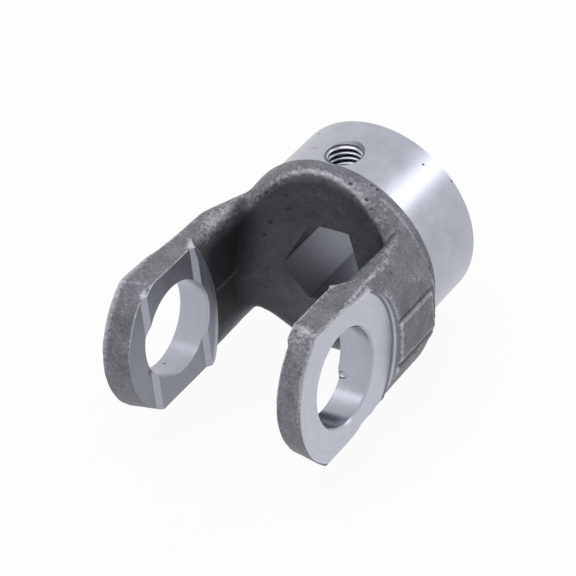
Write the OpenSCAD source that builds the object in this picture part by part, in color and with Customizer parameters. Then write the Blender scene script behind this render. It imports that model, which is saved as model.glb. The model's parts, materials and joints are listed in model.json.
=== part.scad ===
// Forged yoke of a universal joint, lying on its side.
// X runs along the cross pin, Y along the shaft towards the hub, Z is up.
// The origin is the centre of the joint, where the two axes cross.

/* [Ears] */
// Bore in the two ears for the bearing cups of the cross
cross_bore_d = 32; // [27:0.5:39]
// Wall of an ear above and below its bore
ear_wall = 7; // [5.5:0.1:9]
// Wall of an ear at its tip, on the inner face
tip_wall = 8.6; // [7:0.1:10.5]
// Span over the machined outer faces of the ears
ear_span = 72.6; // [68:0.1:88]
// Gap between the milled inner faces, at the bore
fork_gap = 51.4; // [42:0.1:54]
// How far the milled face steps in near the root of the ear
root_step = 1.3; // [0.4:0.1:1.6]
// How far the milled face steps out near the tip of the ear
tip_step = 1.3; // [0.4:0.1:2]
// Draft of the ear tip, in degrees
tip_draft = 9; // [4:0.5:12]
// Wall of an ear between its bore and the root edge of its pad
pad_wall = 3.6; // [2.5:0.1:5]
// Width of the spot face round the bore
spot_wall = 12.3; // [11:0.1:14]
// Depth of the spot face below the forged side
spot_depth = 2.2; // [1.5:0.1:3]

/* [Fork] */
// Distance from the joint centre to the fork bottom
fork_depth = 52; // [48:0.5:66]
// How far the forged walls behind the ears are set back from the milled faces
set_back = 1; // [0.4:0.1:2]
// Depth that is taken off the corners of the arms
corner_cut = 1.8; // [1:0.1:3]
// Round of the inner edges of the arms
arm_round = 4.5; // [2:0.25:5]
// Round of the arms' heels where they meet the shoulder
heel_round = 12; // [10:0.5:15]
// Slope of the facet that takes the upper heels down to the shoulder, in degrees
heel_slope = 17; // [12:0.5:20]
// Height of the trimmed flash band on the sides
band_proud = 0.7; // [0.3:0.1:1]

/* [Hub] */
// Diameter of the turned hub
hub_d = 68.2; // [60:0.1:74]
// Length of the turned hub, behind the shoulder
hub_length = 28; // [22:0.5:50]
// How far the forged shoulder stands above the hub
shoulder_step = 1.35; // [0.8:0.05:2]
// Distance from the fork bottom to the back of the shoulder
shoulder_width = 4; // [3.5:0.1:8]
// Round on the front edge of the shoulder
shoulder_round = 9; // [7:0.5:10]
// Hexagonal shaft bore, across flats
hex_af = 25.4; // [20:0.1:31]
// Wall radius of the tapped hole for the set screw
screw_r = 5.4; // [4:0.05:6.5]
// Distance of the set screw behind the shoulder
screw_offset = 8.6; // [8:0.1:14]
// Width of the countersink over the set screw, along the shaft
sink_width = 1.9; // [1.2:0.1:2.4]
// Included angle of that countersink, in degrees
sink_angle = 115; // [90:5:120]

/* [Edges] */
// Chamfer on the outer mouths of the cross bore
bore_chamfer = 0.6; // [0.2:0.1:1]
// Chamfer on the outer edge of the hub
hub_chamfer = 0.9; // [0.3:0.1:1.5]
// Lead-in at the hub's end of the hexagonal bore, beyond its corners
hex_lead = 0.3; // [0.2:0.1:1.2]
// Fillet left by the spot-facing cutter
face_fillet = 1.3; // [0.5:0.1:1.8]

/* [Hidden] */
$fn = 96;
// Overlap that keeps cutters clear of the faces they cut through
eps = 0.5;
// Length of a cutter that passes right through
through = 240;

// Half sizes and radii that several shapes share
bore_r = cross_bore_d / 2;
ear_x = ear_span / 2;
ear_z = bore_r + ear_wall;
tip_r = bore_r + tip_wall;
milled_x = fork_gap / 2;
side_x = ear_x + spot_depth;
wall_x = milled_x + set_back;
pad_x = milled_x - root_step;
hub_r = hub_d / 2;
shoulder_r = hub_r + shoulder_step;

// Places along the shaft
tip_allowance = 10;
tip_y = -tip_r - tip_allowance;
pad_y = bore_r + pad_wall;
gap_run_out = 7.4;
gap_end = pad_y + gap_run_out;
// The gap and the throat are cut into each other by this much
overlap = 1;
shoulder_back = fork_depth + shoulder_width;
hub_end = shoulder_back + hub_length;
heel_length = 13;
heel_y = shoulder_back - heel_length;
screw_y = shoulder_back + screw_offset;

// The forging is split here: its sides fall away above and below
parting_z = -4;

// Round blank of the arms about the shaft axis, wider towards the tips
corner_r = norm([ear_x, ear_z]) - corner_cut;
corner_taper = 3.2;
corner_angle = atan(ear_x / ear_z);

// The facet on the upper heels starts this far before the back of the shoulder
facet_length = 24.5;
facet_y = shoulder_back - facet_length;

// Ear tip: two drafted noses that meet in a ridge near the parting plane
nose_over = 3.4;
nose_over_z = -2.4;
nose_under = 2.4;
nose_under_z = -0.8;

// Spot face on the outside of an ear: its wall leans outwards, in degrees
spot_r = bore_r + spot_wall;
spot_lean = 24;

// The pad round the bore ends at the root in a sloping, curved edge
pad_r = 45;
pad_z = -2;

// Sloping strips that a stepped milling pass leaves
strip = 2;
tip_strip_in = 2.1;
tip_strip_y = tip_strip_in - bore_r;
root_strip_in = 3.6;
root_strip_y = bore_r - root_strip_in;

// Fork bottom: a shallow arc with rounder corners, creased into three flats
floor_r = 55;
floor_corner_r = 10;
floor_rise = 6;
crease_z = hex_af / 2;
tilt_over = -5;
tilt_mid = atan(floor_rise / (crease_z - parting_z));
tilt_under = -7;

// Front of the shoulder: behind a round of this angle it tapers into the arms
rim_flat = 2.25;
rim_angle = 53;
taper_length = 10;
taper_in = 1.4;

// Flash band on the outside of each arm
band_top_z = 2;
band_low_z = -11.6;
band_end = 7.5;

hex_r = hex_af / sqrt(3);

// A cylinder along X, from one x to another, with an end radius at each
module x_cone(x1, x2, r1, r2, y = 0, z = 0) {
    translate([x1, y, z]) rotate([0, 90, 0]) cylinder(h = x2 - x1, r1 = r1, r2 = r2);
}

// A body turned about the shaft axis, from a profile of [radius, y] points
module turned() {
    rotate([-90, 0, 0]) rotate_extrude() children();
}

// What is drawn on the +X side, and its mirror image
module both_sides() {
    children();
    mirror([1, 0, 0]) children();
}

// Outer limit of the arms about the shaft axis, rounded down to the shoulder at the heel
module arm_limit() {
    turned() {
        polygon([
            [0, tip_y], [corner_r + corner_taper, tip_y], [corner_r, pad_y],
            [corner_r, heel_y], [0, heel_y]
        ]);
        intersection() {
            translate([corner_r - heel_round, heel_y]) circle(heel_round);
            square([corner_r, shoulder_back]);
        }
        translate([0, heel_y - eps]) square([corner_r - heel_round, shoulder_back - heel_y]);
    }
}

// Cutter for the facet on an upper heel, square to the corner and sloping along the shaft
module heel_facet() {
    wide = 60;
    translate([corner_r * sin(corner_angle), facet_y, corner_r * cos(corner_angle)])
        rotate([0, corner_angle, 0])
            rotate([-heel_slope, 0, 0])
                translate([-wide / 2, 0, 0]) cube([wide, wide, wide / 2]);
}

// Section of one arm seen along the shaft, with its inner edges rounded
module arm_section() {
    inner = wall_x + arm_round;
    reach = ear_z - arm_round;
    translate([inner, -ear_z]) square([side_x - inner, 2 * ear_z]);
    translate([wall_x, -reach]) square([arm_round + eps, 2 * reach]);
    for (side = [-1, 1]) translate([inner, side * reach]) circle(arm_round);
}

// Nose of an ear tip: its radius grows outwards by the draft
module nose(shift, z) {
    r = tip_r + shift;
    grow = (side_x + eps - milled_x) * tan(tip_draft);
    x_cone(pad_x - eps, milled_x, r, r, shift, z);
    x_cone(milled_x, side_x + eps, r, r + grow, shift, z);
}

// Pad of an ear: it stands proud of the arm's inner wall up to its sloping root edge
module ear_pad() {
    intersection() {
        translate([pad_x, tip_y, -ear_z]) cube([side_x - pad_x, through, 2 * ear_z]);
        x_cone(pad_x, side_x, pad_r, pad_r + side_x - pad_x, pad_y - pad_r, pad_z);
    }
}

// One arm with its ear, before machining
module arm() {
    intersection() {
        union() {
            rotate([-90, 0, 0]) linear_extrude(shoulder_back) arm_section();
            ear_pad();
        }
        union() {
            intersection() {
                nose(nose_over, nose_over_z);
                nose(nose_under, nose_under_z);
            }
            translate([0, 0, -through / 2]) cube(through);
        }
    }
}

// Trimmed flash band on the side of an arm
module flash_band() {
    translate([side_x - eps, pad_y, band_low_z])
        cube([band_proud + eps, shoulder_back - band_end - pad_y, band_top_z - band_low_z]);
}

// Forged shoulder, with a rounded front edge that tapers into the arms
module shoulder() {
    round_x = shoulder_r - shoulder_round;
    round_y = shoulder_back - rim_flat;
    cone_y = round_y - shoulder_round * sin(rim_angle);
    cone_r = round_x + shoulder_round * cos(rim_angle);
    turned() {
        translate([0, round_y]) square([shoulder_r, shoulder_back - round_y]);
        translate([0, cone_y - eps]) square([round_x, shoulder_back - cone_y]);
        intersection() {
            translate([round_x, round_y]) circle(shoulder_round);
            translate([0, cone_y - eps]) square([shoulder_r, shoulder_back - cone_y]);
        }
        polygon([
            [0, cone_y - taper_length], [cone_r - taper_in, cone_y - taper_length],
            [cone_r, cone_y], [0, cone_y]
        ]);
    }
}

// Web that fills the throat between the arms, until the throat is cut from it
module web() {
    reach = ear_z - arm_round;
    start = gap_end + overlap;
    translate([-wall_x - eps, start, -reach])
        cube([2 * (wall_x + eps), shoulder_back - start - eps, 2 * reach]);
}

// Turned hub
module hub() {
    turned() polygon([
        [0, shoulder_back - eps], [hub_r, shoulder_back - eps],
        [hub_r, hub_end - hub_chamfer], [hub_r - hub_chamfer, hub_end], [0, hub_end]
    ]);
}

// Plan of the fork's throat, with its bottom at y = 0
module throat_plan() {
    corner_x = wall_x - floor_corner_r;
    corner_y = sqrt(pow(floor_r - floor_corner_r, 2) - pow(corner_x, 2)) - floor_r;
    long = fork_depth - tip_y;
    // The arc of the bottom touches the circles of the corners at this distance from the middle
    touch_x = corner_x * floor_r / (floor_r - floor_corner_r);
    translate([-wall_x, corner_y - long]) square([2 * wall_x, long]);
    for (side = [-1, 1]) translate([side * corner_x, corner_y]) circle(floor_corner_r);
    intersection() {
        translate([0, -floor_r]) circle(floor_r, $fn = 180);
        translate([-touch_x, corner_y - long]) square([2 * touch_x, long + floor_r]);
    }
}

// One flat of the throat, tilted about a line across the fork at y and z
module throat_flat(y, z, tilt) {
    translate([0, y, z]) rotate([tilt, 0, 0]) linear_extrude(through, center = true) throat_plan();
}

// Throat of the fork, with its bottom creased at the parting plane
module throat_cut() {
    low = fork_depth - floor_rise;
    start = gap_end - overlap;
    intersection() {
        throat_flat(fork_depth, crease_z, -tilt_over);
        throat_flat(low, parting_z, -tilt_mid);
        translate([-through / 2, start, parting_z]) cube(through);
    }
    intersection() {
        throat_flat(low, parting_z, -tilt_under);
        translate([-through / 2, start, parting_z - through]) cube(through);
    }
}

// Round cutter that leaves the flat outer face of an ear, with a fillet and a leaning wall
module spot_cutter() {
    far_x = side_x + band_proud + eps;
    rise = far_x - ear_x - face_fillet;
    rotate([0, 90, 0]) rotate_extrude() {
        difference() {
            translate([0, ear_x]) square([spot_r, far_x - ear_x]);
            translate([spot_r - face_fillet, ear_x]) difference() {
                square(face_fillet);
                translate([0, face_fillet]) circle(face_fillet);
            }
        }
        translate([spot_r, ear_x + face_fillet])
            polygon([[-eps, 0], [0, 0], [rise * tan(spot_lean), rise], [-eps, rise]]);
    }
}

// Stepped milled gap between the inner faces
module milled_gap() {
    far_x = milled_x + tip_step;
    half = [
        [pad_x, gap_end], [pad_x, root_strip_y + strip / 2], [milled_x, root_strip_y - strip / 2],
        [milled_x, tip_strip_y + strip / 2], [far_x, tip_strip_y - strip / 2], [far_x, tip_y]
    ];
    mirrored = [for (i = [len(half) - 1:-1:0]) [-half[i][0], half[i][1]]];
    linear_extrude(through, center = true) polygon(concat(half, mirrored));
}

// Cross bore through both ears, with a chamfer on each outer mouth
module cross_bore() {
    x_cone(-through / 2, through / 2, bore_r, bore_r);
    both_sides() x_cone(ear_x - bore_chamfer, ear_x + eps, bore_r, bore_r + bore_chamfer + eps);
}

// Hexagonal bore with its flats up and down, and a conical lead-in at the hub's end
module hex_bore() {
    start_r = hex_af / 2 - eps;
    depth = hex_r + hex_lead - start_r;
    rotate([-90, 0, 0]) cylinder(h = through, r = hex_r, $fn = 6);
    translate([0, hub_end - depth, 0]) rotate([-90, 0, 0])
        cylinder(h = depth + eps, r1 = start_r, r2 = start_r + depth + eps);
}

// Tapped hole for the set screw, with its countersink at the crown of the hub
module screw_hole() {
    depth = sink_width / tan(sink_angle / 2);
    times = 3;
    translate([0, screw_y, 0]) {
        cylinder(h = hub_r, r = screw_r);
        translate([0, 0, hub_r - depth])
            cylinder(h = times * depth, r1 = screw_r, r2 = screw_r + times * sink_width);
    }
}

// The whole yoke: one forging, machined on the hub, the ears and the bores
module yoke() {
    color("dimgray") difference() {
        union() {
            difference() {
                intersection() {
                    both_sides() {
                        arm();
                        flash_band();
                    }
                    arm_limit();
                }
                both_sides() heel_facet();
            }
            web();
            shoulder();
            hub();
        }
        throat_cut();
        milled_gap();
        both_sides() spot_cutter();
        cross_bore();
        hex_bore();
        screw_hole();
    }
}

yoke();
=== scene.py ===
"""Forged yoke of a universal joint: the visual model, the stage and the camera.

The yoke is made as the real one is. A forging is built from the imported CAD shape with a
machining allowance on it, its skin is roughened, and then it is turned, spot-faced, milled,
bored, broached, tapped and drilled. Lengths are in metres where no other unit is named, in
the frame of the CAD model: X along the cross pin, Y along the shaft towards the hub, Z up.
"""

import json
from math import cos, pi, radians, sin, tan

import bpy
import numpy as np
from mathutils import Matrix, Vector, kdtree, noise

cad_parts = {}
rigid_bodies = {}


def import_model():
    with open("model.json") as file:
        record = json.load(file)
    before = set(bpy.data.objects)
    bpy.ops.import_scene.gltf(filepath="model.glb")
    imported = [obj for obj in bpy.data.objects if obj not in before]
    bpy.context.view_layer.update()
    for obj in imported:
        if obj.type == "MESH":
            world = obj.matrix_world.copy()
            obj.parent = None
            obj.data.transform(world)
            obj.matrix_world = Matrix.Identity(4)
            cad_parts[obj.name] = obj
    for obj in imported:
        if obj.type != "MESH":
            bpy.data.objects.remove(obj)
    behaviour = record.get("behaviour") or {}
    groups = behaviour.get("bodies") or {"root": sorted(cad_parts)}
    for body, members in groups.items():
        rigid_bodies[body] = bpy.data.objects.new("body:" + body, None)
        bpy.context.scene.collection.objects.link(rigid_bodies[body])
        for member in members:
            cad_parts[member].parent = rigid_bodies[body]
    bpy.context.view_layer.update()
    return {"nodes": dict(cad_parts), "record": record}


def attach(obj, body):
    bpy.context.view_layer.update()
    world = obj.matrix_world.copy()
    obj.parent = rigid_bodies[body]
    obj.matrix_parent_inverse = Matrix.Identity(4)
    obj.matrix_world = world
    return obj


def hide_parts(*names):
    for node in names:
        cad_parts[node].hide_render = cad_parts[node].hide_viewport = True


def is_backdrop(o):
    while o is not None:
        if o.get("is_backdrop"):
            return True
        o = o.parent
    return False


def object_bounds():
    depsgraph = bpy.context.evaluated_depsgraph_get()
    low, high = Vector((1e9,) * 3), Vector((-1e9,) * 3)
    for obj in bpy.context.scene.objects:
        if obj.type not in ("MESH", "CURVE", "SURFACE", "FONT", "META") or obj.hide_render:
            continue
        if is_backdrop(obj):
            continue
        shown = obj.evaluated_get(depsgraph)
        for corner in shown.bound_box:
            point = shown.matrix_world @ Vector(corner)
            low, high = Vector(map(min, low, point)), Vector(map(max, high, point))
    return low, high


bl_info = {
    "name": "Forged yoke",
    "version": (1, 0, 0),
    "blender": (4, 5, 0),
    "location": "3D View > Sidebar > Forged yoke",
    "description": "Forged and machined yoke of a universal joint, on a pale floor",
    "category": "Object",
}

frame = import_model()
mounts = {mount["name"]: mount for mount in frame["record"]["mounts"]}

MM = 0.001

# Points closer than this are one point
TINY = MM / 1000

# The photograph's camera: place, turn, rise and roll in degrees, focal length in pixels
CAMERA_PLACE = (0.4693, -0.6163, 0.5588)
CAMERA_TURN = 36.17
CAMERA_RISE = 34.78
CAMERA_ROLL = -6.92
FOCAL_PIXELS = 3077
IMAGE_SIDE = 576
SENSOR = 36

# Studio lamps: name, place, width, height and power in watts
LAMPS = (
    ("back box", (0.75, 1.0, 0.85), 0.34, 0.6, 1.9),
    ("top box", (-0.1, -0.15, 1.3), 1.0, 1.0, 4.3),
)

# What made each kind of surface, in the order of the piece's material slots
ZONES = (
    "forged",
    "turned",
    "spot_faced",
    "relieved",
    "milled",
    "stepped",
    "bored",
    "broached",
    "tapped",
    "rusted",
)

# The flash band on the arms' sides, in millimetres
BAND_BOTTOM = -11.6
BAND_TOP = 2
BAND_MIDDLE = (BAND_BOTTOM + BAND_TOP) / 2
BAND_END = 48.5
BAND_HEIGHT = 0.6
BAND_GROOVE = 0.22
ARM_SIDE = 38.6

# The arc that each milled face's root edge follows, in millimetres: its centre's Y and Z, radius
ARC_ALONG = -25.4
ARC_UP = -2
ARC_RADIUS = 45

# Unevenness of the forged skin: how wide and how high each kind is, in millimetres
WAVE = (13, 0.09)
LUMP = (3.4, 0.045)
GRAIN = (1.3, 0.028)

# Dents and small pits that a draw spreads: how many, least and most reach and depth in
# millimetres, and how dark they are
DENTS = (260, 1.2, 2.6, 0.07, 0)
SMALL_PITS = (80, 0.5, 0.85, 0.2, 0.8)

# Reach and depth in millimetres of the pits that stand out, and how dark they are
LARGE_PIT = (0.95, 0.3, 1)

# Where they are on the forging, in millimetres: shoulder bead, then fork bottom
PITS = (
    (10.5, 50.8, 33.4),
    (15.4, 55.0, 31.4),
    (17.4, 54.8, 30.4),
    (17.3, 49.2, 30.4),
    (34.5, 54.0, 5.8),
    (-19.9, 47.4, 23.7),
    (-13.7, 49.3, 23.3),
    (-19.6, 47.5, 12.4),
    (-22.0, 46.6, 7.8),
    (-13.8, 49.3, 17.4),
)

# A scratch on the left arm's inner wall, in millimetres
SCRATCH = ((-26.7, 24, -0.8), (-26.7, 28.9, -1.3), (-26.7, 34.7, -0.6), (-26.7, 41, -0.6))

# Nicks in machined faces: name, place and half sizes in millimetres, turn in degrees, zone
NICKS = (
    ("hub nick", (-18.5, 78, 28.7), (0.35, 0.95, 0.3), (0, -33, 35), "rusted"),
    ("hub dot", (20.8, 77.8, 27.1), (0.45, 0.4, 0.3), (0, 38, 0), "rusted"),
    ("hub speck", (27.9, 82.6, 19.7), (0.35, 0.4, 0.2), (0, 55, 0), "rusted"),
    ("bore speck", (-33.2, -0.1, -16.1), (0.55, 0.3, 0.2), (0, 0, 20), "rusted"),
    ("bore gouge", (26.2, 12.4, -10.4), (2.1, 1.2, 1.0), (40, 0, 0), "turned"),
)

# Rust marks, in millimetres: place and how far each spreads. The streak is a row of them.
HUB_STREAK_START = (-26.2, 73.2, 21.9)
HUB_STREAK_RUN = (13.5, -6.8, 9.8)
HUB_STREAK_REACH = 1.2
HUB_STREAK = [
    ([start + part * run for start, run in zip(HUB_STREAK_START, HUB_STREAK_RUN)], HUB_STREAK_REACH)
    for part in (0, 0.2, 0.4, 0.6, 0.8, 1)
]
EAR_STAIN = [((-27.0, -15.3, -6.9), 2.2)]

# Painted highlights where rounded edges catch the light, in millimetres: place, how far it spreads,
# how much
EDGE_HIGHLIGHTS = (
    ((30, -11.5, 22), 4.5, 0.2),
    ((-27, -12.8, 20.7), 2.0, 0.3),
    ((-26.6, 13.8, 22.8), 2.2, 0.3),
    ((-28.2, 29, 21.8), 3.5, 0.16),
    ((-27.2, 36, 20.3), 3.5, 0.16),
)


# Properties


def length(name, description, millimetres):
    """A length that a user can change, given in millimetres."""
    return bpy.props.FloatProperty(
        name=name,
        description=description,
        default=millimetres * MM,
        precision=5,
        unit="LENGTH",
        subtype="DISTANCE",
    )


def colour(name, description, code):
    """A colour that a user can change, given as an sRGB hex value."""
    return bpy.props.FloatVectorProperty(
        name=name,
        description=description,
        default=linear(code)[:3],
        size=3,
        min=0,
        max=1,
        subtype="COLOR",
    )


def linear(code):
    """The linear colour of an sRGB hex value, with full alpha."""
    parts = [int(code[i : i + 2], 16) / 255 for i in (1, 3, 5)]
    parts = [p / 12.92 if p <= 0.04045 else ((p + 0.055) / 1.055) ** 2.4 for p in parts]
    return (*parts, 1)


class YokeSizes(bpy.types.PropertyGroup):
    """Sizes of the machining, which the CAD model has too, and of the forged skin."""

    bore_radius: length(
        "Bore radius",
        "Radius of the cross bore",
        mounts["cross_bore"]["dims"]["r_mm"],
    )
    ear_face: length(
        "Ear face",
        "Distance of the ears' outer faces from the middle",
        mounts["cross_bore"]["dims"]["length_mm"] / 2,
    )
    hub_end: length(
        "Hub end",
        "Distance of the hub's end face from the joint centre",
        mounts["hub_end"]["pos_m"][1] / MM,
    )
    tapping_radius: length(
        "Tapping radius",
        "Radius of the set screw's drilled hole",
        mounts["set_screw"]["dims"]["r_mm"],
    )
    screw_place: length(
        "Screw place",
        "Distance of the set screw from the joint centre",
        mounts["set_screw"]["pos_m"][1] / MM,
    )
    hub_radius: length("Hub radius", "Radius of the turned hub", 34.1)
    shoulder_back: length(
        "Shoulder back", "Distance of the shoulder's back face from the joint centre", 56
    )
    milled_half: length("Milled half gap", "Half the gap between the milled faces", 25.7)
    gap_end: length("Gap end", "Distance of the milled gap's end from the joint centre", 27)
    mill_step: length("Milling step", "Height of the steps on the milled faces", 1.3)
    spot_radius: length("Spot radius", "Radius of the spot faces round the bore", 28.3)
    hex_flats: length("Hex across flats", "Size of the hexagonal bore", 25.4)
    hex_lead: length("Hex lead-in", "How far the lead-in reaches beyond the hex corners", 0.3)
    thread_pitch: length("Thread pitch", "Pitch of the 1/2 inch thread", 1.954)
    thread_radius: length("Thread radius", "Outer radius of the thread", 6.35)
    skin_mesh: length("Skin mesh", "Size of the mesh of the forged skin", 0.62)


class YokeFinish(bpy.types.PropertyGroup):
    """Colours of the steel."""

    scale_light: colour("Scale", "Blasted forging scale", "#8c8c94")
    # Darkened to 0.3, this colour is also the painted shade inside the fork
    scale_dark: colour("Dark scale", "Scale left in hollows", "#5c5c63")
    worn: colour("Worn edge", "Steel that shows on worn edges", "#cfcfd7")
    # Also the black of the painted shade in the thread's roots and in the flash band's groove
    pit: colour("Pit", "Black scale in pits", "#1c1b1c")
    machined: colour("Machined steel", "Freshly cut steel", "#b5b8c3")
    rust: colour("Rust", "Rust in nicks and stains", "#6e5138")


# Tools


def deselect_all():
    """Leaves nothing selected, in object mode."""
    if bpy.context.object and bpy.context.object.mode != "OBJECT":
        bpy.ops.object.mode_set(mode="OBJECT")
    bpy.ops.object.select_all(action="DESELECT")


def activate(obj):
    """Leaves this object alone selected, in object mode."""
    deselect_all()
    obj.select_set(True)
    bpy.context.view_layer.objects.active = obj


def edit(obj, kind):
    """Opens a mesh in edit mode with nothing selected."""
    activate(obj)
    bpy.ops.object.mode_set(mode="EDIT")
    bpy.ops.mesh.select_mode(type=kind)
    bpy.ops.mesh.select_all(action="DESELECT")


def select_faces(obj, wanted):
    """Selects the faces that a mask names, and leaves the mesh open in edit mode."""
    edit(obj, "FACE")
    bpy.ops.object.mode_set(mode="OBJECT")
    obj.data.polygons.foreach_set("select", np.asarray(wanted, bool))
    bpy.ops.object.mode_set(mode="EDIT")


def face_table(obj):
    """Centres and normals of a mesh's faces, as arrays."""
    count = len(obj.data.polygons)
    centres = np.empty(count * 3)
    normals = np.empty(count * 3)
    obj.data.polygons.foreach_get("center", centres)
    obj.data.polygons.foreach_get("normal", normals)
    return centres.reshape(-1, 3), normals.reshape(-1, 3)


def point_table(obj):
    """Places of a mesh's points, as an array."""
    points = np.empty(len(obj.data.vertices) * 3)
    obj.data.vertices.foreach_get("co", points)
    return points.reshape(-1, 3)


def normal_table(obj):
    """Normals at a mesh's points, as an array."""
    normals = np.empty(len(obj.data.vertices) * 3)
    obj.data.vertices.foreach_get("normal", normals)
    return normals.reshape(-1, 3)


def zone_table(obj):
    """The zone of each of a mesh's faces, as numbers in an array."""
    zones = np.empty(len(obj.data.polygons), np.int32)
    obj.data.polygons.foreach_get("material_index", zones)
    return zones


def put_points(obj, points):
    """Moves a mesh's points to new places."""
    obj.data.vertices.foreach_set("co", points.ravel())
    obj.data.update()


def keep_values(obj, name, values):
    """Keeps one number a point on the mesh, for the materials."""
    attribute = obj.data.attributes.new(name, "FLOAT", "POINT")
    attribute.data.foreach_set("value", values.astype(np.float32))


def between(values, low, high):
    """Which values lie between two limits."""
    return (values > low) & (values < high)


def rise(values, start, reach):
    """0 up to the start, and 1 from this reach beyond it."""
    return np.clip((values - start) / reach, 0, 1)


def fall(values, end, reach):
    """1 up to this reach before the end, and 0 from the end on."""
    return np.clip((end - values) / reach, 0, 1)


def bump_line(distance, middle, reach):
    """1 along a line at this distance, and less away from it."""
    return np.exp(-(((distance - middle) / reach) ** 2))


def outline(name, points):
    """A flat face whose corners are extruded one from the next, open in edit mode."""
    deselect_all()
    bpy.ops.mesh.primitive_plane_add(size=MM, enter_editmode=True)
    obj = bpy.context.object
    obj.name = name
    bpy.ops.mesh.select_mode(type="VERT")
    bpy.ops.mesh.select_all(action="SELECT")
    bpy.ops.mesh.merge(type="CENTER")
    bpy.ops.transform.translate(value=points[0])
    for before, after in zip(points, points[1:]):
        step = Vector(after) - Vector(before)
        bpy.ops.mesh.extrude_vertices_move(TRANSFORM_OT_translate={"value": step})
    bpy.ops.mesh.select_all(action="SELECT")
    bpy.ops.mesh.edge_face_add()
    return obj


def close_up(obj, zone):
    """Merges a cutter's doubles, turns its faces outwards and marks what kind of cut it is."""
    bpy.ops.mesh.select_all(action="SELECT")
    bpy.ops.mesh.remove_doubles(threshold=TINY)
    bpy.ops.mesh.delete_loose()
    bpy.ops.mesh.select_all(action="SELECT")
    bpy.ops.mesh.normals_make_consistent(inside=False)
    bpy.ops.object.mode_set(mode="OBJECT")
    for name in ZONES:
        obj.data.materials.append(bpy.data.materials[name])
    zones = np.full(len(obj.data.polygons), ZONES.index(zone), np.int32)
    obj.data.polygons.foreach_set("material_index", zones)


def mark_faces(obj, wanted, zone):
    """Marks the faces that a mask names as another kind of cut."""
    zones = zone_table(obj)
    zones[wanted] = ZONES.index(zone)
    obj.data.polygons.foreach_set("material_index", zones)


def spun(name, profile, axis, zone, centre=(0, 0, 0), steps=192):
    """A closed body spun about an axis, from a profile of (radius, place along it) points."""
    if axis == "X":
        points = [(along, 0, radius) for radius, along in profile]
    elif axis == "Y":
        points = [(radius, along, 0) for radius, along in profile]
    else:
        points = [(radius, 0, along) for radius, along in profile]
    points = [Vector(point) + Vector(centre) for point in points]
    direction = {"X": (1, 0, 0), "Y": (0, 1, 0), "Z": (0, 0, 1)}[axis]
    obj = outline(name, points)
    bpy.ops.mesh.delete(type="ONLY_FACE")
    bpy.ops.mesh.select_all(action="SELECT")
    bpy.ops.mesh.spin(steps=steps, angle=2 * pi, center=centre, axis=direction)
    close_up(obj, zone)
    return obj


def cut(piece, cutter):
    """Takes a cutter's shape out of the piece and deletes the cutter."""
    activate(piece)
    modifier = piece.modifiers.new("cut", "BOOLEAN")
    modifier.operation = "DIFFERENCE"
    modifier.solver = "MANIFOLD"
    modifier.object = cutter
    before = len(piece.data.polygons)
    bpy.ops.object.modifier_apply(modifier=modifier.name)
    if len(piece.data.polygons) in (0, before):
        raise RuntimeError(f"the cut {cutter.name} left the piece empty or unchanged")
    bpy.data.objects.remove(cutter)


# The forging, with its machining allowance


def raise_faces(piece, wanted, offset):
    """Moves the faces that a mask names, which leaves stock for a cut to take off."""
    select_faces(piece, wanted)
    bpy.ops.transform.translate(value=offset)
    bpy.ops.object.mode_set(mode="OBJECT")


def fill_bores(piece, sizes):
    """Takes out the walls of the bores and closes their mouths."""
    slack = 0.05 * MM
    chamfer_reach = 1.2 * MM
    countersink_reach = 7.6 * MM
    lead_reach = 4 * MM
    least_inward = 0.6
    least_upright = 0.9
    centres, normals = face_table(piece)
    across, along, up = centres.T
    from_pin = np.hypot(along, up)
    inward = -np.einsum("ij,ij->i", centres[:, 1:], normals[:, 1:]) / np.maximum(from_pin, slack)
    cross = (from_pin < sizes.bore_radius + chamfer_reach) & (inward > least_inward)
    cross &= np.abs(across) > sizes.milled_half / 2
    turns = np.arange(3) * pi / 3
    from_flats = np.max([np.abs(up * cos(turn) + across * sin(turn)) for turn in turns], axis=0)
    flats = (from_flats < sizes.hex_flats / 2 + slack) & (np.abs(normals[:, 1]) < 0.01)
    flats &= along > 0
    lead = np.hypot(across, up) < sizes.hex_flats / 3**0.5 + sizes.hex_lead + slack
    lead &= between(along, sizes.hub_end - lead_reach, sizes.hub_end - slack)
    screw = np.hypot(across, along - sizes.screw_place) < countersink_reach
    screw &= (up > sizes.hex_flats / 2 - slack) & (normals[:, 2] < least_upright)
    select_faces(piece, cross | flats | lead | screw)
    bpy.ops.mesh.delete(type="FACE")
    bpy.ops.mesh.select_all(action="SELECT")
    bpy.ops.mesh.fill_holes(sides=0)
    bpy.ops.mesh.select_all(action="SELECT")
    bpy.ops.mesh.quads_convert_to_tris()
    bpy.ops.object.mode_set(mode="OBJECT")


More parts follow.
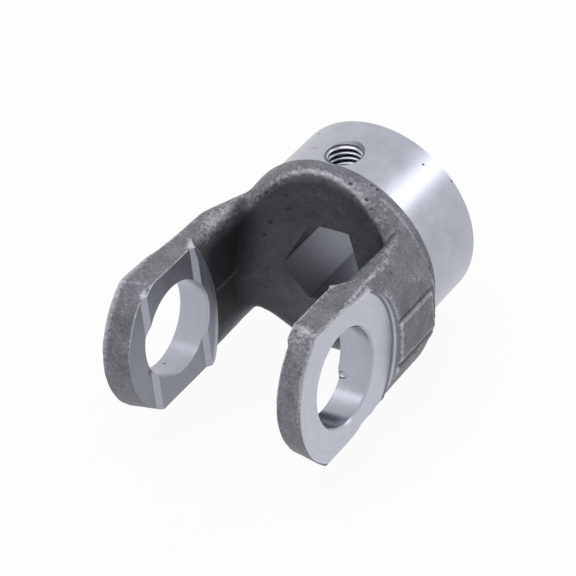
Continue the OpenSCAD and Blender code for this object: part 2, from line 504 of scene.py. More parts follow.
def add_allowance(piece, sizes):
    """Raises every face that is machined later."""
    near = 0.03 * MM
    mill_stock = 1.2 * MM
    spot_stock = 1.9 * MM
    hub_stock = 1.3 * MM
    end_stock = 1.2 * MM
    shoulder_stock = 0.8 * MM
    chamfer_reach = 1.2 * MM
    centres, normals = face_table(piece)
    x = np.abs(centres[:, 0])
    facing = np.sign(centres[:, 0]) * normals[:, 0]
    low = sizes.milled_half - sizes.mill_step
    high = sizes.milled_half + sizes.mill_step
    arm_wall = sizes.milled_half + MM
    milled = (facing < -0.8) & between(x, low - near, high + near)
    milled &= (x < arm_wall - near) | (centres[:, 1] < 0)
    milled &= centres[:, 1] < sizes.gap_end + near
    spot = (facing > 0.999) & (np.abs(x - sizes.ear_face) < near)
    for side in (-1, 1):
        there = np.sign(centres[:, 0]) == side
        raise_faces(piece, milled & there, (-side * mill_stock, 0, 0))
        raise_faces(piece, spot & there, (side * spot_stock, 0, 0))

    points = point_table(piece)
    radius = np.hypot(points[:, 0], points[:, 2])
    on_hub = points[:, 1] > sizes.shoulder_back - near
    on_hub &= radius > sizes.hub_radius - chamfer_reach
    grown = 1 + hub_stock / sizes.hub_radius
    points[on_hub & (radius < sizes.hub_radius + near)] *= (grown, 1, grown)
    points[on_hub & (points[:, 1] < sizes.shoulder_back + near), 1] += shoulder_stock
    points[points[:, 1] > sizes.hub_end - near, 1] += end_stock
    put_points(piece, points)


def make_skin(piece, sizes):
    """Gives the forging one even mesh with the soft edges that come out of a die."""
    activate(piece)
    remesh = piece.modifiers.new("skin", "REMESH")
    remesh.mode = "VOXEL"
    remesh.voxel_size = sizes.skin_mesh
    bpy.ops.object.modifier_apply(modifier=remesh.name)
    edge_rounds, bead_rounds, heel_rounds, arm_rounds = 7, 16, 70, 45
    smooth(piece, edge_rounds)

    across, along, up = point_table(piece).T / MM
    bead = between(along, 38, 53) & (np.hypot(across, up) > 26)
    blend(piece, bead, bead_rounds)
    corner = rise(np.abs(across), 16, 5) * rise(np.abs(up), 13, 4)
    heel = corner * rise(along, 33, 5) * fall(along, 53.5, 3)
    blend(piece, heel, heel_rounds)
    arm = corner * rise(along, 24, 6) * fall(along, 42, 4)
    blend(piece, arm, arm_rounds)


def smooth(piece, rounds, group=""):
    """Smooths the skin so many times, all of it or as much as a vertex group says."""
    modifier = piece.modifiers.new("smooth", "SMOOTH")
    modifier.vertex_group = group
    modifier.factor = 0.5
    modifier.iterations = rounds
    bpy.ops.object.modifier_apply(modifier=modifier.name)


def blend(piece, share, rounds):
    """Smooths the skin where a share says so, which runs from 0 to 1 over its points."""
    steps = 8
    group = piece.vertex_groups.new(name="blend")
    levels = np.round(share * steps).astype(int)
    for level in range(1, steps + 1):
        group.add(np.flatnonzero(levels == level).tolist(), level / steps, "REPLACE")
    smooth(piece, rounds, group.name)
    piece.vertex_groups.clear()


def press_band(piece):
    """Sets the flash band on the arms' sides proud of them, with a groove round its edges."""
    points = point_table(piece)
    facing = np.abs(normal_table(piece)[:, 0])
    across = np.abs(points[:, 0]) / MM
    along = points[:, 1] / MM
    up = points[:, 2] / MM
    on_side = (across > ARM_SIDE - 0.7) & (facing > 0.8)
    share = on_side * fall(np.abs(up - BAND_MIDDLE), 10.5, 1.5)
    share *= rise(along, 17, 1.5) * fall(along, 51, 1.5)
    outside = np.max([up - BAND_TOP, BAND_BOTTOM - up, along - BAND_END], axis=0)
    step = np.clip(0.5 - outside / 0.9, 0, 1)
    level = ARM_SIDE + BAND_HEIGHT * step - BAND_GROOVE * bump_line(outside, 0.9, 0.5)
    points[:, 0] += np.sign(points[:, 0]) * share * (level - across) * MM
    put_points(piece, points)
    mark_lines(piece, share, outside)


def mark_lines(piece, share, outside):
    """Keeps where the skin is dark in a groove and bright on a crest; on the flash band's edges the
    dark is painted shade and the bright a painted highlight.

    Share and outside are how far each point belongs to an arm's side, and how far it lies
    outside the flash band in millimetres.
    """
    points = point_table(piece) / MM
    across, along, up = np.abs(points[:, 0]), points[:, 1], points[:, 2]
    flash = (np.hypot(across, up) > 35) & (across > 20)
    # Painted shade in the flash band's groove
    band_groove_shade = share * bump_line(outside, 0.95, 0.55)
    flash_groove = 0.22 * flash * rise(along, 53.3, 0.6)
    keep_values(piece, "groove", np.maximum(band_groove_shade, flash_groove))

    # Painted highlight on the flash band's crest
    band_crest_highlight = 0.4 * share * bump_line(outside, -0.3, 0.4)
    flash_crest = 0.3 * flash * bump_line(along, 52.9, 0.45)
    from_arc = np.hypot(along - ARC_ALONG, up - ARC_UP)
    root = between(from_arc, ARC_RADIUS - 0.3, ARC_RADIUS + 2.4) & (across < 26.6) & (along > 12)
    scratch = 0.22 * bump_line(from_line(points, SCRATCH), 0, 0.35)
    keep_values(piece, "crest", np.max([band_crest_highlight, flash_crest, 0.6 * root, scratch], axis=0))


def from_line(places, corners):
    """How far each place is from a line through these corners."""
    shortest = np.full(len(places), np.inf)
    for first, last in zip(np.array(corners), np.array(corners)[1:]):
        run = last - first
        away = places - first
        part = np.clip(away @ run / (run @ run), 0, 1)
        distance = np.linalg.norm(away - part[:, None] * run, axis=1)
        shortest = np.minimum(shortest, distance)
    return shortest


def unevenness(point):
    """How far the skin stands out at a point, in millimetres: its grain is coarse in the throat."""
    where = Vector(point) / MM
    wave = noise.noise(where / WAVE[0])
    lump = noise.noise(where / LUMP[0] + Vector((7, 3, 1)))
    grain = noise.noise(where / GRAIN[0] + Vector((1, 9, 4)))
    in_throat = 42 < where.y < 52 and abs(where.x) < 24
    coarse = 1.8 if in_throat else 1
    return WAVE[1] * wave + LUMP[1] * lump + GRAIN[1] * coarse * grain


def roughen(piece):
    """Gives the skin the waves, lumps and pits of a blasted forging, and marks the pits."""
    points = point_table(piece)
    across, along, up = points.T / MM
    lift = np.array([unevenness(point) for point in points])
    # What the trimming left of the parting line at the ears' tips
    lift[(along < -17) & (np.abs(up - 6.5) < 2.4)] += 0.16
    # Round the spot faces the skin is calmer, so that their cut edges stay even
    calm = 1 - 0.85 * (np.abs(across) > 33) * bump_line(np.hypot(along, up), 29, 2)
    lift *= calm

    tree = point_tree(points, range(len(points)))
    rng = np.random.default_rng(7)
    chosen = iter(points[rng.integers(len(points), size=DENTS[0] + SMALL_PITS[0])])
    hollows = []
    for count, least, most, depth, darkness in (DENTS, SMALL_PITS):
        for _ in range(count):
            hollows.append((next(chosen), rng.uniform(least, most), depth, darkness))
    for place in PITS:
        hollows.append((points[tree.find(Vector(place) * MM)[1]], *LARGE_PIT))
    dark = np.zeros(len(points))
    for centre, reach, depth, darkness in hollows:
        for _, i, distance in tree.find_range(centre, reach * MM):
            share = (1 - (distance / (reach * MM)) ** 2) ** 2
            lift[i] -= depth * share * calm[i]
            dark[i] = max(dark[i], darkness * share)
    put_points(piece, points + normal_table(piece) * (lift * MM)[:, None])
    keep_values(piece, "pit", dark)


def point_tree(points, chosen):
    """A tree that finds the nearest of the chosen points."""
    tree = kdtree.KDTree(len(chosen))
    for i in chosen:
        tree.insert(points[i], i)
    tree.balance()
    return tree


# The machining


def turn_hub(sizes):
    """Lathe cut of the hub's outside, end face and chamfer."""
    chamfer = 0.9 * MM
    far = sizes.hub_radius + 20 * MM
    beyond = sizes.hub_end + 5 * MM
    profile = [
        (sizes.hub_radius, sizes.shoulder_back),
        (far, sizes.shoulder_back),
        (far, beyond),
        (0, beyond),
        (0, sizes.hub_end),
        (sizes.hub_radius - chamfer, sizes.hub_end),
        (sizes.hub_radius, sizes.hub_end - chamfer),
    ]
    obj = spun("hub turning", profile, "Y", "turned", steps=256)
    _, normals = face_table(obj)
    mark_faces(obj, between(np.abs(normals[:, 1]), 0.3, 0.95), "relieved")
    return obj


def spot_face(sizes, side):
    """Cut of an ear's outer face, with the fillet and leaning wall that its cutter leaves."""
    fillet = 1.3 * MM
    lean = tan(radians(24))
    steps = 8
    far = sizes.ear_face + 8 * MM
    profile = [(0, sizes.ear_face)]
    for i in range(steps + 1):
        turn = i / steps * pi / 2
        radius = sizes.spot_radius - fillet + fillet * sin(turn)
        profile.append((radius, sizes.ear_face + fillet - fillet * cos(turn)))
    profile.append((sizes.spot_radius + (far - sizes.ear_face - fillet) * lean, far))
    profile.append((0, far))
    profile = [(radius, side * along) for radius, along in profile]
    obj = spun("spot face", profile, "X", "spot_faced")
    centres, _ = face_table(obj)
    radius = np.hypot(centres[:, 1], centres[:, 2])
    # The fillet and wall get the darker relieved tint: painted shade
    mark_faces(obj, radius > sizes.spot_radius - fillet, "relieved")
    # A narrow ring at the fillet's top gets the brighter turned finish: a painted highlight
    bright = between(radius, sizes.spot_radius - 0.3 * fillet, sizes.spot_radius)
    mark_faces(obj, bright, "turned")
    return obj


def mill_gap(sizes):
    """Cut of the stepped inner faces of both ears."""
    low = sizes.milled_half - sizes.mill_step
    middle = sizes.milled_half
    high = sizes.milled_half + sizes.mill_step
    height = 120 * MM
    # Half the gap, and the place along the shaft, at each corner of a face
    half = [
        (low, sizes.gap_end),
        (low, 13.4 * MM),
        (middle, 11.4 * MM),
        (middle, -12.9 * MM),
        (high, -14.9 * MM),
        (high, -45 * MM),
    ]
    whole = half + [(-x, y) for x, y in reversed(half)]
    obj = outline("gap mill", [(x, y, -height / 2) for x, y in whole])
    bpy.ops.mesh.extrude_region_move(TRANSFORM_OT_translate={"value": (0, 0, height)})
    close_up(obj, "milled")
    _, normals = face_table(obj)
    mark_faces(obj, between(np.abs(normals[:, 0]), 0.5, 0.95), "stepped")
    return obj


def dress_root(sizes, side):
    """Narrow bevel that dresses the curved root edge of an ear's milled face."""
    reach = 1.5
    near, far = (ARC_RADIUS - reach) * MM, (ARC_RADIUS + reach) * MM
    face = sizes.milled_half - sizes.mill_step
    inside = face - 2.5 * MM
    profile = [(near, face - 0.02 * MM), (far, face + 0.7 * MM), (far, inside), (near, inside)]
    profile = [(radius, side * along) for radius, along in profile]
    centre = (0, ARC_ALONG * MM, ARC_UP * MM)
    return spun("root bevel", profile, "X", "stepped", centre=centre, steps=240)


def bore_ears(sizes):
    """Boring bar's cut through both ears, with a chamfer on each outer mouth."""
    chamfer = 0.6 * MM
    radius = sizes.bore_radius
    far = sizes.ear_face + MM
    half = [(radius, sizes.ear_face - chamfer), (radius + chamfer + MM, far)]
    profile = [(0, far), (0, -far), *((r, -x) for r, x in reversed(half)), *half]
    return spun("boring bar", profile, "X", "bored")


def broach_hex(sizes):
    """Cut of the hexagonal bore."""
    middle, reach = 70 * MM, 80 * MM
    deselect_all()
    bpy.ops.mesh.primitive_cylinder_add(
        vertices=6,
        radius=sizes.hex_flats / 3**0.5,
        depth=reach,
        location=(0, middle, 0),
        rotation=(pi / 2, pi / 6, 0),
        enter_editmode=True,
    )
    obj = bpy.context.object
    obj.name = "hex broach"
    close_up(obj, "broached")
    activate(obj)
    bpy.ops.object.transform_apply(location=True, rotation=True, scale=True)
    return obj


def lead_in(sizes):
    """Cut of the conical lead-in at the hub's end of the hexagonal bore."""
    over = 2 * MM
    mouth = sizes.hex_flats / 3**0.5 + sizes.hex_lead
    start = sizes.hex_flats / 2 - 0.5 * MM
    first, last = sizes.hub_end - (mouth - start), sizes.hub_end + over
    profile = [(0, first), (start, first), (mouth + over, last), (0, last)]
    return spun("lead-in", profile, "Y", "relieved")


def drill_screw(sizes):
    """Drill and countersink of the set screw's hole."""
    radius = sizes.tapping_radius
    start = 5 * MM
    width = 1.9 * MM
    half_angle = 57.5
    depth = width / tan(radians(half_angle))
    top = sizes.hub_radius - depth
    over = top + 3 * depth
    profile = [(0, start), (radius, start), (radius, top), (radius + 3 * width, over), (0, over)]
    obj = spun("drill", profile, "Z", "tapped", centre=(0, sizes.screw_place, 0), steps=96)
    centres, _ = face_table(obj)
    mark_faces(obj, centres[:, 2] > top, "relieved")
    return obj


def tap_thread(sizes):
    """Helical groove of the tap, with rounded crests between its turns."""
    pitch = sizes.thread_pitch
    start = 9 * MM
    turns, steps = 14, 40
    # How far out of the drilled hole in millimetres, and which part of a pitch from the middle
    half = [(-0.4, 0.495), (0, 0.4), (0.2, 0.33)]
    lower = [(sizes.tapping_radius + out * MM, 0, start - part * pitch) for out, part in half]
    upper = [(sizes.tapping_radius + out * MM, 0, start + part * pitch) for out, part in half]
    root = [(sizes.thread_radius, 0, start + part * pitch) for part in (-0.06, 0.06)]
    obj = outline("tap", lower + root + upper[::-1])
    bpy.ops.mesh.delete(type="ONLY_FACE")
    bpy.ops.object.mode_set(mode="OBJECT")
    screw = obj.modifiers.new("thread", "SCREW")
    screw.screw_offset = pitch
    screw.iterations = turns
    screw.steps = steps
    screw.render_steps = steps
    screw.use_smooth_shade = False
    bpy.ops.object.modifier_apply(modifier=screw.name)
    bpy.ops.object.mode_set(mode="EDIT")
    bpy.ops.mesh.select_all(action="SELECT")
    bpy.ops.mesh.fill_holes(sides=0)
    bpy.ops.mesh.select_all(action="SELECT")
    bpy.ops.transform.translate(value=(0, sizes.screw_place, 0))
    close_up(obj, "tapped")
    return obj


def nick(name, place, half, turn, zone):
    """A small gouge in a machined face, from its place and half sizes in millimetres."""
    deselect_all()
    bpy.ops.mesh.primitive_uv_sphere_add(
        segments=20,
        ring_count=12,
        radius=1,
        location=Vector(place) * MM,
        rotation=[radians(angle) for angle in turn],
        scale=Vector(half) * MM,
        enter_editmode=True,
    )
    obj = bpy.context.object
    obj.name = name
    close_up(obj, zone)
    activate(obj)
    bpy.ops.object.transform_apply(location=True, rotation=True, scale=True)
    return obj


# Edges, and what the mesh keeps for the materials


def clean(piece):
    """Merges the doubles and slivers that the cuts leave."""
    edit(piece, "VERT")
    bpy.ops.mesh.select_all(action="SELECT")
    bpy.ops.mesh.remove_doubles(threshold=TINY)
    bpy.ops.mesh.dissolve_degenerate(threshold=TINY)
    bpy.ops.object.mode_set(mode="OBJECT")


def shade(piece):
    """Smooth skin, with sharp edges where cuts meet it and each other."""
    activate(piece)
    least_corner = radians(32)
    bpy.ops.object.shade_smooth_by_angle(angle=least_corner)
    zones = zone_table(piece)
    for zone in range(1, len(ZONES)):
        if not (zones == zone).any():
            continue
        select_faces(piece, zones == zone)
        bpy.ops.mesh.region_to_loop()
        bpy.ops.mesh.mark_sharp()
        bpy.ops.object.mode_set(mode="OBJECT")


def touched(obj, *names):
    """Which points lie on a face of one of these kinds of surface."""
    mesh = obj.data
    counts = np.empty(len(mesh.polygons), np.int32)
    corners = np.empty(len(mesh.loops), np.int32)
    mesh.polygons.foreach_get("loop_total", counts)
    mesh.loops.foreach_get("vertex_index", corners)
    zones = np.repeat(zone_table(obj), counts)
    wanted = np.isin(zones, [ZONES.index(name) for name in names])
    return np.bincount(corners, wanted, len(mesh.vertices)) > 0


def mark_wear_and_highlights(piece):
    """Keeps how far each point stands out from those round it, for the worn edges, and adds the
    painted edge highlights.
    """
    rounds, gain = 5, 3.6
    points = point_table(piece)
    normals = normal_table(piece)
    edges = np.empty(len(piece.data.edges) * 2, np.int64)
    piece.data.edges.foreach_get("vertices", edges)
    edges = edges.reshape(-1, 2)
    here, there = np.concatenate([edges, edges[:, ::-1]]).T
    offset = points[here] - points[there]
    lengths = np.maximum(np.linalg.norm(offset, axis=1), 1e-9)
    bend = np.einsum("ij,ij->i", offset, normals[here]) / lengths
    count = np.maximum(np.bincount(here, minlength=len(points)), 1)
    stand = np.bincount(here, bend, len(points)) / count
    stand[touched(piece, *ZONES[1:])] = 0
    for _ in range(rounds):
        stand = 0.5 * stand + 0.5 * np.bincount(here, stand[there], len(points)) / count
    wear_and_highlight = 0.5 + gain * stand
    # Painted highlights where rounded edges catch the light
    for place, reach, strength in EDGE_HIGHLIGHTS:
        distance = np.linalg.norm(points / MM - np.array(place), axis=1)
        wear_and_highlight += strength * bump_line(distance, 0, reach)
    keep_values(piece, "wear_and_highlight", np.clip(wear_and_highlight, 0, 1))


def mark_rims(piece):
    """Keeps how near each forged point is to a cut, where the edge is worn bright and a highlight
    is painted.

    The upper edges are painted brighter than the lower ones: painted light from above.
    """
    points = point_table(piece)
    forged = touched(piece, "forged")
    on_band = np.abs(points[:, 2] - BAND_MIDDLE * MM) < (BAND_TOP - BAND_MIDDLE) * MM
    inner = touched(piece, "milled") | (touched(piece, "relieved") & on_band)
    # Painted light from above: the higher a rim, the brighter
    upper = np.clip(0.6 + points[:, 2] / (30 * MM), 0.35, 1)
    rim_wear_and_highlight = np.zeros(len(points))
    outer_reach, inner_reach = 3.2 * MM, 0.9 * MM
    for edge, reach in ((touched(piece, "spot_faced"), outer_reach), (inner, inner_reach)):
        tree = point_tree(points, np.flatnonzero(forged & edge))
        for i in np.flatnonzero(forged):
            distance = tree.find(points[i])[2]
            if distance < reach:
                rim_wear_and_highlight[i] = max(rim_wear_and_highlight[i], upper[i] * (1 - distance / reach))
    keep_values(piece, "rim_wear_and_highlight", rim_wear_and_highlight)


def mark_fork_shade(piece):
    """Keeps where shade is painted: inside the fork, most on the arms' walls."""
    points = point_table(piece) / MM
    facing = np.abs(normal_table(piece)[:, 0])
    inward = fall(np.hypot(points[:, 0], points[:, 2]), 33, 3)
    deep = rise(points[:, 1], 15, 8)
    keep_values(piece, "fork_shade", inward * deep * (0.58 + 0.36 * facing))


# Materials


def feed(tree, node, inputs):
    """Sets or links a node's inputs."""
    for socket, source in inputs.items():
        if isinstance(source, bpy.types.NodeSocket):
            tree.links.new(source, node.inputs[socket])
        else:
            node.inputs[socket].default_value = source


def add(tree, kind, inputs=None, **settings):
    """Adds a node with its settings, and sets or links its inputs."""
    node = tree.nodes.new(kind)
    for key, value in settings.items():
        setattr(node, key, value)
    feed(tree, node, inputs or {})
    return node


def new_material(name):
    """A material with an empty node tree, its shader and its output."""
    material = bpy.data.materials.new(name)
    material.use_nodes = True
    tree = material.node_tree
    tree.nodes.clear()
    shader = add(tree, "ShaderNodeBsdfPrincipled")
    add(tree, "ShaderNodeOutputMaterial", {"Surface": shader.outputs[0]})
    place = add(tree, "ShaderNodeTexCoord").outputs["Object"]
    return tree, shader, place


def ramp(tree, source, low, high, start=0.0, end=1.0):
    """Maps a value from one range to another, with its ends held."""
    return add(
        tree,
        "ShaderNodeMapRange",
        {"Value": source, "From Min": low, "From Max": high, "To Min": start, "To Max": end},
    ).outputs["Result"]


def speckle(tree, place, size):
    """Noise whose features are about this many millimetres across."""
    return add(
        tree,
        "ShaderNodeTexNoise",
        {"Vector": place, "Scale": 1 / (size * MM), "Detail": 3.0, "Roughness": 0.55},
    ).outputs["Fac"]


def bumps(tree, height, strength, depth):
    """Normals tilted by a height, whose full range is this many millimetres."""
    return add(
        tree,
        "ShaderNodeBump",
        {"Strength": strength, "Distance": depth * MM, "Height": height},
    ).outputs["Normal"]


def vector_step(tree, operation, output, *sources):
    """One step of vector arithmetic."""
    inputs = dict(enumerate(sources))
    return add(tree, "ShaderNodeVectorMath", inputs, operation=operation).outputs[output]


def total(tree, *sources):
    """Adds up values."""
    value = sources[0]
    for source in sources[1:]:
        value = add(tree, "ShaderNodeMath", {0: value, 1: source}, operation="ADD").outputs[0]
    return value


def kept(tree, name):
    """A number that the mesh keeps for each of its points."""
    return add(tree, "ShaderNodeAttribute", attribute_name=name).outputs["Fac"]


def plain(colour_parts):
    """A colour with full alpha."""
    return (*colour_parts, 1)


def mix(tree, factor, first, second):
    """Mixes two colours."""
    return add(
        tree,
        "ShaderNodeMix",
        {0: factor, 6: first, 7: second},
        data_type="RGBA",
    ).outputs[2]


def forged_steel(finish):
    """Drop-forged steel, blasted: a dull grey scale, mottled and pitted, bright where worn, with
    painted highlights on some edges and painted shade inside the fork and in the band's groove.
    """
    tree, shader, place = new_material("forged")
    blotch = speckle(tree, place, 6)
    fleck = speckle(tree, place, 1.2)
    fine = speckle(tree, place, 0.6)
    wear_and_highlight = kept(tree, "wear_and_highlight")
    worn, pit = plain(finish.worn), plain(finish.pit)
    painted_shade_colour = plain([0.3 * c for c in finish.scale_dark])
    # What lies over the dark scale: a value, its range, the cover at both ends, the colour
    layers = (
        (total(tree, blotch, fleck, fine), 1.1, 1.9, 0, 1, plain(finish.scale_light)),
        (wear_and_highlight, 0.15, 0.42, 0.6, 0, pit),
        # Bright on worn edges and on the painted edge highlights
        (total(tree, wear_and_highlight, wear_and_highlight, fleck), 1.7, 2.3, 0, 0.9, worn),
        # Bright where rims are worn and where highlights are painted on them
        (total(tree, kept(tree, "rim_wear_and_highlight"), fleck), 0.85, 1.6, 0, 0.85, worn),
        (fleck, 0.66, 0.82, 0, 0.3, worn),
        # Painted shade inside the fork
        (kept(tree, "fork_shade"), 0, 1, 0, 1, painted_shade_colour),
        # Crest brightens the flash band's edge, a painted highlight, and the root band and scratch;
        # groove darkens the band's groove, a painted shade
        (kept(tree, "crest"), 0, 1, 0, 1, worn),
        (kept(tree, "groove"), 0.1, 1, 0, 0.5, pit),
        (kept(tree, "pit"), 0.15, 0.75, 0, 0.85, pit),
    )
    skin = plain(finish.scale_dark)
    for value, low, high, start, end, cover in layers:
        skin = mix(tree, ramp(tree, value, low, high, start, end), skin, cover)
    rough = ramp(tree, fleck, 0.3, 0.7, 0.46, 0.6)
    normal = bumps(tree, total(tree, fleck, fine), 0.4, 0.1)
    surface = {"Base Color": skin, "Roughness": rough, "Metallic": 0.7, "Normal": normal}
    feed(tree, shader, surface)


def machined_steel(name, finish, tint, roughness, stains=(), across=None, line=1.0):
    """Bare cut steel: bright and grey, with the fine lines its tool left.

    Stains are rust marks, each a place in millimetres and how far it spreads. The lines follow
    one number over the surface, which across makes from the place, and are line apart.
    """
    tree, shader, place = new_material(name)
    cloud = speckle(tree, place, 6)
    fleck = speckle(tree, place, 0.8)
    base = [min(tint * c, 1) for c in finish.machined]
    dull = [0.88 * c for c in base]
    tone = cloud
    if across:
        lines = add(
            tree,
            "ShaderNodeTexNoise",
            {"W": across(tree, place), "Scale": 1 / (line * MM), "Detail": 2.0},
            noise_dimensions="1D",
        ).outputs["Fac"]
        tone = ramp(tree, total(tree, lines, cloud), 0, 2)
        feed(tree, shader, {"Normal": bumps(tree, lines, 0.5, 0.004)})
    skin = mix(tree, ramp(tree, tone, 0.35, 0.65), plain(dull), plain(base))
    for centre, reach in stains:
        away = vector_step(tree, "DISTANCE", "Value", place, [c * MM for c in centre])
        edge = ramp(tree, total(tree, ramp(tree, away, 0, reach * MM), fleck), 0.6, 1.3, 0.75, 0)
        skin = mix(tree, edge, skin, plain(finish.rust))
    rough = ramp(tree, cloud, 0.3, 0.7, roughness - 0.03, roughness + 0.03)
    feed(tree, shader, {"Base Color": skin, "Roughness": rough, "Metallic": 1.0})


def tapped_steel(finish, sizes):
    """Cut thread: bright crests, with painted shade that darkens the roots towards black."""
    tree, shader, place = new_material("tapped")
    from_axis = vector_step(tree, "SUBTRACT", 0, place, (0, sizes.screw_place, 0))
    flat = vector_step(tree, "MULTIPLY", 0, from_axis, (1, 1, 0))
    out = vector_step(tree, "LENGTH", "Value", flat)
    root = sizes.thread_radius
    # Painted shade in the thread's roots
    dark = ramp(tree, out, root - 0.7 * MM, root - 0.2 * MM, 0, 0.9)
    bright = plain([min(1.2 * c, 1) for c in finish.machined])
    skin = mix(tree, dark, bright, plain(finish.pit))
    feed(tree, shader, {"Base Color": skin, "Roughness": 0.28, "Metallic": 1.0})


def rusted_steel(finish):
    """Rust in small nicks: brown, dull and not metallic."""
    tree, shader, place = new_material("rusted")
    tone = ramp(tree, speckle(tree, place, 0.5), 0.3, 0.7)
    skin = mix(tree, tone, plain(finish.pit), plain(finish.rust))
    feed(tree, shader, {"Base Color": skin, "Roughness": 0.8})


def along_pin(tree, place):
    """Distance along the cross pin, which boring lines follow."""
    return add(tree, "ShaderNodeSeparateXYZ", {"Vector": place}).outputs["X"]


def from_pin(tree, place):
    """Distance from the cross pin's axis, which the rings of a spot face follow."""
    return vector_step(tree, "LENGTH", "Value", vector_step(tree, "MULTIPLY", 0, place, (0, 1, 1)))


def make_materials(finish, sizes):
    """The materials of all the zones, in their order."""
    forged_steel(finish)
    machined_steel("turned", finish, 0.98, 0.3, HUB_STREAK)
    machined_steel("spot_faced", finish, 1.2, 0.4, across=from_pin, line=0.9)
    # Chamfers, fillets, spot-face walls, lead-in and countersink: the same steel tinted darker, a
    # painted shade
    machined_steel("relieved", finish, 0.45, 0.42)
    machined_steel("milled", finish, 0.66, 0.48, EAR_STAIN)
    # The steps' sloping strips and the root bevel: the same steel tinted brighter than the milled
    # faces, a painted highlight
    machined_steel("stepped", finish, 0.95, 0.45, EAR_STAIN)
    machined_steel("bored", finish, 0.9, 0.26, across=along_pin, line=0.7)
    machined_steel("broached", finish, 0.5, 0.42, across=from_pin, line=0.5)
    tapped_steel(finish, sizes)
    rusted_steel(finish)


# Operators


class ForgeYoke(bpy.types.Operator):
    """Builds the forging round the CAD shape and machines it"""

    bl_idname = "yoke.forge"
    bl_label = "Forge and machine the yoke"

    def execute(self, context):
        sizes = context.scene.yoke_sizes
        make_materials(context.scene.yoke_finish, sizes)
        activate(frame["nodes"]["yoke"])
        bpy.ops.object.duplicate()
        piece = context.object
        piece.name = "yoke_forging"
        bpy.ops.object.parent_clear(type="CLEAR_KEEP_TRANSFORM")
        bpy.ops.object.mode_set(mode="EDIT")
        bpy.ops.mesh.select_all(action="SELECT")
        bpy.ops.mesh.remove_doubles(threshold=TINY)
        bpy.ops.object.mode_set(mode="OBJECT")
        fill_bores(piece, sizes)
        add_allowance(piece, sizes)
        make_skin(piece, sizes)
        press_band(piece)
        roughen(piece)
        piece.data.materials.clear()
        for name in ZONES:
            piece.data.materials.append(bpy.data.materials[name])
        cut(piece, turn_hub(sizes))
        for side in (1, -1):
            cut(piece, spot_face(sizes, side))
        cut(piece, mill_gap(sizes))
        for side in (1, -1):
            cut(piece, dress_root(sizes, side))
        cut(piece, bore_ears(sizes))
        cut(piece, broach_hex(sizes))
        cut(piece, lead_in(sizes))
        cut(piece, tap_thread(sizes))
        cut(piece, drill_screw(sizes))
        for details in NICKS:
            cut(piece, nick(*details))
        clean(piece)
        shade(piece)
        mark_wear_and_highlights(piece)
        mark_rims(piece)
        mark_fork_shade(piece)
        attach(piece, "root")
        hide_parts("yoke")
        return {"FINISHED"}


def aim(obj, target):
    """Points a lamp at a place."""
    obj.rotation_euler = (Vector(target) - obj.location).to_track_quat("-Z", "Y").to_euler()


def soft_box(name, place, width, height, power):
    """A rectangular studio lamp that points at the yoke."""
    deselect_all()
    bpy.ops.object.light_add(type="AREA", location=place)
    lamp = bpy.context.object
    lamp.name = name
    lamp.data.shape = "RECTANGLE"
    lamp.data.size = width
    lamp.data.size_y = height
    lamp.data.energy = power
    aim(lamp, (0, 0.03, 0))


def seen_directly(tree):
    """1 for rays from the camera and through mirrors or glass, 0 for rays that only light."""
    path = add(tree, "ShaderNodeLightPath").outputs
    seen = path["Is Camera Ray"]
    for kind in ("Is Glossy Ray", "Is Transmission Ray"):
        either = add(tree, "ShaderNodeMath", {0: seen, 1: path[kind]}, operation="MAXIMUM")
        seen = either.outputs[0]
    return seen


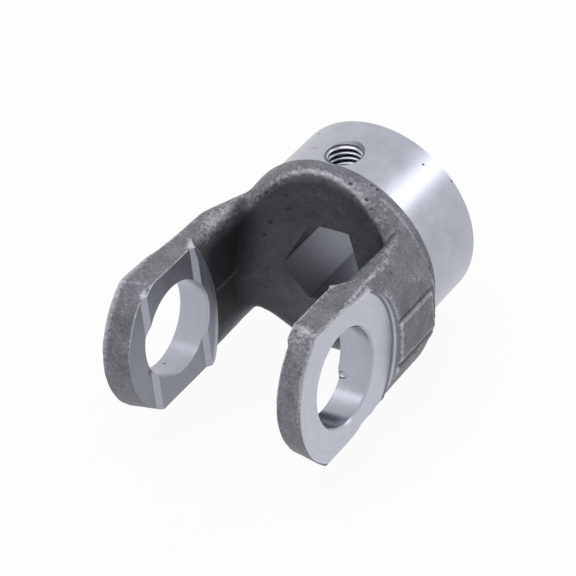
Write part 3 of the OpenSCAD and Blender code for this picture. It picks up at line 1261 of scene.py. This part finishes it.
class SetStage(bpy.types.Operator):
    """Adds the floor, the lamps and the camera"""

    bl_idname = "yoke.stage"
    bl_label = "Set the stage"

    def execute(self, context):
        self.add_floor()
        self.add_world(context.scene)
        for details in LAMPS:
            soft_box(*details)
        self.add_camera(context.scene)
        context.scene.view_settings.view_transform = "Standard"
        return {"FINISHED"}

    def add_floor(self):
        """Pale floor that shows white and keeps the yoke's shadow."""
        low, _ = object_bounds()
        deselect_all()
        bpy.ops.mesh.primitive_plane_add(size=12, location=(0, 0, low.z - 0.05 * MM))
        floor = bpy.context.object
        floor.name = "floor"
        bpy.ops.object.transform_apply(location=True, rotation=True, scale=True)
        material = bpy.data.materials.new("pale_floor")
        material.use_nodes = True
        tree = material.node_tree
        tree.nodes.clear()
        matt = add(tree, "ShaderNodeBsdfDiffuse", {"Color": linear("#f2f2f2")})
        glow = add(tree, "ShaderNodeEmission", {"Color": (1, 1, 1, 1), "Strength": 1.0})
        share = ramp(tree, seen_directly(tree), 0, 1, 0, 0.93)
        both = add(
            tree,
            "ShaderNodeMixShader",
            {0: share, 1: matt.outputs[0], 2: glow.outputs[0]},
        )
        add(tree, "ShaderNodeOutputMaterial", {"Surface": both.outputs[0]})
        floor.data.materials.append(material)
        floor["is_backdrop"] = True

    def add_world(self, scene):
        """White surroundings to the camera and in the metal, and a soft grey sky as light."""
        world = bpy.data.worlds.new("studio")
        scene.world = world
        world.use_nodes = True
        tree = world.node_tree
        tree.nodes.clear()
        soft = add(tree, "ShaderNodeBackground", {"Color": (0.8, 0.8, 0.8, 1), "Strength": 0.7})
        white = add(tree, "ShaderNodeBackground", {"Color": (1, 1, 1, 1), "Strength": 1.0})
        both = add(
            tree,
            "ShaderNodeMixShader",
            {0: seen_directly(tree), 1: soft.outputs[0], 2: white.outputs[0]},
        )
        add(tree, "ShaderNodeOutputWorld", {"Surface": both.outputs[0]})

    def add_camera(self, scene):
        """Camera at the photograph's angle."""
        turn, lift, roll = radians(CAMERA_TURN), radians(CAMERA_RISE), radians(CAMERA_ROLL)
        back = Vector((sin(turn) * cos(lift), -cos(turn) * cos(lift), sin(lift)))
        level = Vector((cos(turn), sin(turn), 0))
        right = level * cos(roll) + back.cross(level) * sin(roll)
        up = back.cross(right)
        deselect_all()
        bpy.ops.object.camera_add()
        camera = bpy.context.object
        camera.name = "camera"
        basis = Matrix((right, up, back)).transposed().to_4x4()
        camera.matrix_world = Matrix.Translation(CAMERA_PLACE) @ basis
        camera.data.sensor_width = SENSOR
        camera.data.lens = SENSOR * FOCAL_PIXELS / IMAGE_SIDE
        camera.data.clip_start = 0.01
        camera.data.clip_end = 20
        scene.camera = camera


class YokePanel(bpy.types.Panel):
    """Sizes, colours and steps of the yoke"""

    bl_idname = "VIEW3D_PT_forged_yoke"
    bl_label = "Forged yoke"
    bl_space_type = "VIEW_3D"
    bl_region_type = "UI"
    bl_category = "Forged yoke"

    def draw(self, context):
        for group in (context.scene.yoke_sizes, context.scene.yoke_finish):
            column = self.layout.column(align=True)
            for name in group.__annotations__:
                column.prop(group, name)
        self.layout.operator(ForgeYoke.bl_idname)
        self.layout.operator(SetStage.bl_idname)


CLASSES = (YokeSizes, YokeFinish, ForgeYoke, SetStage, YokePanel)


def register():
    """Makes the classes and their settings known to Blender."""
    for item in CLASSES:
        bpy.utils.register_class(item)
    bpy.types.Scene.yoke_sizes = bpy.props.PointerProperty(type=YokeSizes)
    bpy.types.Scene.yoke_finish = bpy.props.PointerProperty(type=YokeFinish)


def unregister():
    """Undoes register."""
    del bpy.types.Scene.yoke_finish
    del bpy.types.Scene.yoke_sizes
    for item in reversed(CLASSES):
        bpy.utils.unregister_class(item)


def main():
    """Builds the whole scene."""
    register()
    bpy.ops.yoke.forge()
    bpy.ops.yoke.stage()


if __name__ == "__main__":
    main()
